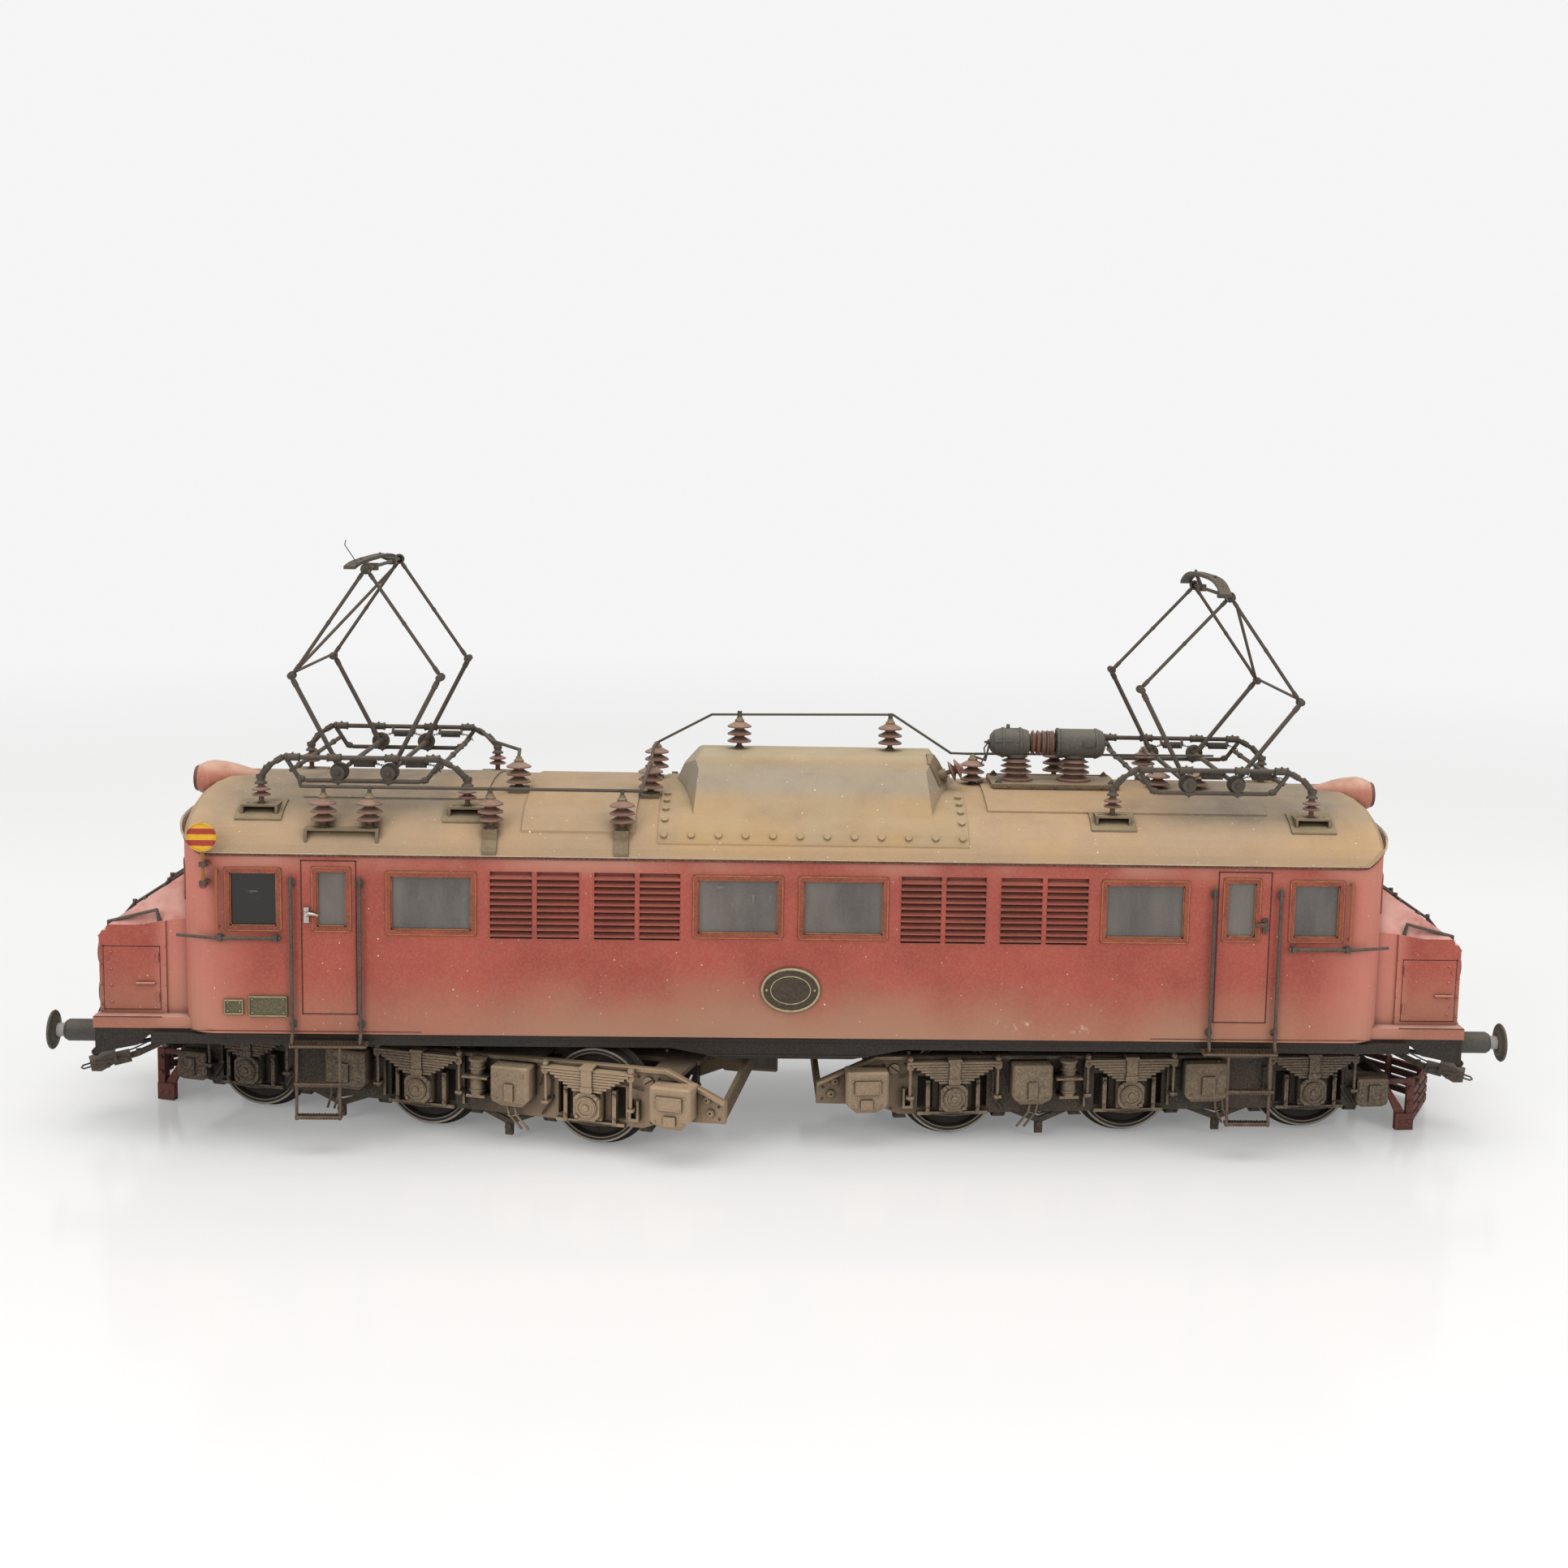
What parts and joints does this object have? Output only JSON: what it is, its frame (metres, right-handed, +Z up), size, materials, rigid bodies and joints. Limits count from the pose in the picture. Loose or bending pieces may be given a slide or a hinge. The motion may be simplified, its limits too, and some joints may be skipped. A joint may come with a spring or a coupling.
{
  "type": "model electric locomotive",
  "caption": "Dusty brick-red model electric locomotive with low noses, two raised diamond pantographs, a roof hood and two three-axle bogies turned out under a long body.",
  "frame": {"origin": "under the middle of the body, at the height of the lowest points of the wheel flanges", "axes": "+X along the body to the right end, +Y across it away from the side shown, +Z up"},
  "size_m": [0.37, 0.0919, 0.1497],
  "materials": {
    "body_paint": "satin, dusty",
    "roof_paint": "matt, dusty",
    "lamp_glass": "clear",
    "window_wood": "satin",
    "window_glass": "dusty",
    "rail_paint": "matt",
    "plate_metal": "aged",
    "pantograph_steel": "blackened",
    "insulator": "satin",
    "roof_iron": "matt",
    "breaker_grey": "matt",
    "underframe_black": "matt",
    "buffer_grey": "satin",
    "spring_steel": "bright",
    "signal_enamel": "gloss",
    "coupler_iron": "dusty",
    "wheel_steel": "blackened",
    "bogie_grey": "matt",
    "bogie_dusty": "matt, dusty",
    "plow_red": "matt",
    "motor_can": "matt",
    "armature_brass": "machined"
  },
  "bodies": {
    "body": {"body_shell": "body_paint", "roof": "roof_paint", "roof_hood": "roof_paint", "roof_hatches": "roof_paint", "noses": "body_paint", "lamp_housings": "body_paint", "lamp_lenses": "lamp_glass", "cab_doors": "body_paint", "locker_doors": "body_paint", "window_frames": "window_wood", "window_glass": "window_glass", "louvres": "body_paint", "handrails": "rail_paint", "builder_plates": "plate_metal", "pantograph_frames": "pantograph_steel", "insulators": "insulator", "insulator_feet": "roof_iron", "busbars": "pantograph_steel", "breaker": "breaker_grey", "underframe": "underframe_black", "buffer_beams": "underframe_black", "buffer_stocks": "buffer_grey", "buffer_springs": "spring_steel", "steps": "rail_paint", "brake_hoses": "underframe_black", "signal_disc": "signal_enamel"},
    "left_bogie": {"bogie_frame_left": "bogie_grey", "side_gear_left": "bogie_dusty", "brake_rigging_left": "bogie_grey", "plow_left": "plow_red", "motor_left": "motor_can"},
    "right_bogie": {"bogie_frame_right": "bogie_grey", "side_gear_right": "bogie_dusty", "brake_rigging_right": "bogie_grey", "plow_right": "plow_red", "motor_right": "motor_can"},
    "buffer_left_near": {"buffer_left_near": "buffer_grey"},
    "buffer_left_far": {"buffer_left_far": "buffer_grey"},
    "buffer_right_near": {"buffer_right_near": "buffer_grey"},
    "buffer_right_far": {"buffer_right_far": "buffer_grey"},
    "coupler_left": {"coupler_left": "coupler_iron"},
    "coupler_right": {"coupler_right": "coupler_iron"},
    "left_lower_west": {"left_lower_west": "pantograph_steel"},
    "left_lower_east": {"left_lower_east": "pantograph_steel"},
    "left_upper_west": {"left_upper_west": "pantograph_steel"},
    "left_upper_east": {"left_upper_east": "pantograph_steel"},
    "left_collector": {"left_collector": "pantograph_steel"},
    "right_lower_west": {"right_lower_west": "pantograph_steel"},
    "right_lower_east": {"right_lower_east": "pantograph_steel"},
    "right_upper_west": {"right_upper_west": "pantograph_steel"},
    "right_upper_east": {"right_upper_east": "pantograph_steel"},
    "right_collector": {"right_collector": "pantograph_steel"},
    "wheelset_left_outer": {"wheelset_left_outer": "wheel_steel"},
    "wheelset_left_middle": {"wheelset_left_middle": "wheel_steel"},
    "wheelset_left_inner": {"wheelset_left_inner": "wheel_steel"},
    "wheelset_right_outer": {"wheelset_right_outer": "wheel_steel"},
    "wheelset_right_middle": {"wheelset_right_middle": "wheel_steel"},
    "wheelset_right_inner": {"wheelset_right_inner": "wheel_steel"},
    "armature_left": {"armature_left": "armature_brass"},
    "armature_right": {"armature_right": "armature_brass"}
  },
  "joints": [
    {"name": "left_pantograph_fold", "type": "hinge", "parent": "body", "child": "left_lower_west", "pos_m": [-0.1112, 0, 0.0931], "axis": [0, -1, 0], "range_deg": [0, 46]},
    {"name": "left_lower_east_swing", "type": "hinge", "parent": "body", "child": "left_lower_east", "pos_m": [-0.099, 0, 0.0931], "axis": [0, 1, 0], "range_deg": [0, 46]},
    {"name": "left_upper_west_swing", "type": "hinge", "parent": "left_lower_west", "child": "left_upper_west", "pos_m": [-0.12309, 0, 0.11633], "axis": [0, 1, 0], "range_deg": [0, 88.36]},
    {"name": "left_upper_east_swing", "type": "hinge", "parent": "left_lower_east", "child": "left_upper_east", "pos_m": [-0.08711, 0, 0.11633], "axis": [0, -1, 0], "range_deg": [0, 88.36]},
    {"name": "left_collector_tilt", "type": "hinge", "parent": "left_upper_west", "child": "left_collector", "pos_m": [-0.1051, 0, 0.14268], "axis": [0, -1, 0], "range_deg": [0, 42.36]},
    {"name": "right_pantograph_fold", "type": "hinge", "parent": "body", "child": "right_lower_east", "pos_m": [0.1109, 0, 0.0931], "axis": [0, 1, 0], "range_deg": [0, 36]},
    {"name": "right_lower_west_swing", "type": "hinge", "parent": "body", "child": "right_lower_west", "pos_m": [0.0987, 0, 0.0931], "axis": [0, -1, 0], "range_deg": [0, 36]},
    {"name": "right_upper_east_swing", "type": "hinge", "parent": "right_lower_east", "child": "right_upper_east", "pos_m": [0.12682, 0, 0.11378], "axis": [0, -1, 0], "range_deg": [0, 68.72]},
    {"name": "right_upper_west_swing", "type": "hinge", "parent": "right_lower_west", "child": "right_upper_west", "pos_m": [0.08657, 0, 0.11621], "axis": [0, 1, 0], "range_deg": [0, 69.8]},
    {"name": "right_collector_tilt", "type": "hinge", "parent": "right_upper_east", "child": "right_collector", "pos_m": [0.10819, 0, 0.13967], "axis": [0, 1, 0], "range_deg": [0, 32.72]},
    {"name": "left_bogie_yaw", "type": "hinge", "parent": "body", "child": "left_bogie", "pos_m": [-0.0864, 0, 0.021], "axis": [0, 0, 1], "range_deg": [0, 33.4]},
    {"name": "left_outer_axle_spin", "type": "hinge", "parent": "left_bogie", "child": "wheelset_left_outer", "pos_m": [-0.13161, 0.01356, 0.0134], "axis": [0.2874, 0.9578, 0], "continuous": true},
    {"name": "left_middle_axle_spin", "type": "hinge", "parent": "left_bogie", "child": "wheelset_left_middle", "pos_m": [-0.08563, -0.00023, 0.0134], "axis": [0.2874, 0.9578, 0], "continuous": true},
    {"name": "left_inner_axle_spin", "type": "hinge", "parent": "left_bogie", "child": "wheelset_left_inner", "pos_m": [-0.04196, -0.01333, 0.0134], "axis": [0.2874, 0.9578, 0], "continuous": true},
    {"name": "left_armature_spin", "type": "hinge", "parent": "left_bogie", "child": "armature_left", "pos_m": [-0.0751, -0.00339, 0.0134], "axis": [0.2874, 0.9578, 0], "continuous": true},
    {"name": "left_coupler_swing", "type": "hinge", "parent": "body", "child": "coupler_left", "pos_m": [-0.152, 0, 0.0198], "axis": [0, 0, 1], "range_deg": [-47, 3]},
    {"name": "left_near_buffer_slide", "type": "slide", "parent": "body", "child": "buffer_left_near", "axis": [1, 0, 0], "range_m": [0, 0.0018], "stiffness_N_per_m": 300, "springref_m": -0.001, "deforming": ["buffer_springs"]},
    {"name": "left_far_buffer_slide", "type": "slide", "parent": "body", "child": "buffer_left_far", "axis": [1, 0, 0], "range_m": [0, 0.0018], "stiffness_N_per_m": 300, "springref_m": -0.001, "deforming": ["buffer_springs"]},
    {"name": "right_bogie_yaw", "type": "hinge", "parent": "body", "child": "right_bogie", "pos_m": [0.0864, 0, 0.021], "axis": [0, 0, 1], "range_deg": [-21, 12.4]},
    {"name": "right_outer_axle_spin", "type": "hinge", "parent": "right_bogie", "child": "wheelset_right_outer", "pos_m": [0.13347, 0.00354, 0.0134], "axis": [-0.075, 0.9972, 0], "continuous": true},
    {"name": "right_middle_axle_spin", "type": "hinge", "parent": "right_bogie", "child": "wheelset_right_middle", "pos_m": [0.0856, -0.00006, 0.0134], "axis": [-0.075, 0.9972, 0], "continuous": true},
    {"name": "right_inner_axle_spin", "type": "hinge", "parent": "right_bogie", "child": "wheelset_right_inner", "pos_m": [0.04013, -0.00348, 0.0134], "axis": [-0.075, 0.9972, 0], "continuous": true},
    {"name": "right_armature_spin", "type": "hinge", "parent": "right_bogie", "child": "armature_right", "pos_m": [0.07463, -0.00089, 0.0134], "axis": [-0.075, 0.9972, 0], "continuous": true},
    {"name": "right_coupler_swing", "type": "hinge", "parent": "body", "child": "coupler_right", "pos_m": [0.152, 0, 0.0198], "axis": [0, 0, 1], "range_deg": [-3, 47]},
    {"name": "right_near_buffer_slide", "type": "slide", "parent": "body", "child": "buffer_right_near", "axis": [-1, 0, 0], "range_m": [0, 0.0018], "stiffness_N_per_m": 300, "springref_m": -0.001, "deforming": ["buffer_springs"]},
    {"name": "right_far_buffer_slide", "type": "slide", "parent": "body", "child": "buffer_right_far", "axis": [-1, 0, 0], "range_m": [0, 0.0018], "stiffness_N_per_m": 300, "springref_m": -0.001, "deforming": ["buffer_springs"]}
  ],
  "couplings": [
    {"joint": "left_lower_east_swing", "follows": "left_pantograph_fold", "ratio": 1},
    {"joint": "left_upper_west_swing", "follows": "left_pantograph_fold", "ratio": 1.91},
    {"joint": "left_upper_east_swing", "follows": "left_pantograph_fold", "ratio": 1.91},
    {"joint": "left_collector_tilt", "follows": "left_pantograph_fold", "ratio": 0.91},
    {"joint": "right_lower_west_swing", "follows": "right_pantograph_fold", "ratio": 1},
    {"joint": "right_upper_east_swing", "follows": "right_pantograph_fold", "ratio": 1.895},
    {"joint": "right_upper_west_swing", "follows": "right_pantograph_fold", "ratio": 1.925},
    {"joint": "right_collector_tilt", "follows": "right_pantograph_fold", "ratio": 0.895},
    {"joint": "left_armature_spin", "follows": "left_middle_axle_spin", "ratio": -2.6667},
    {"joint": "right_armature_spin", "follows": "right_middle_axle_spin", "ratio": -2.6667}
  ]
}
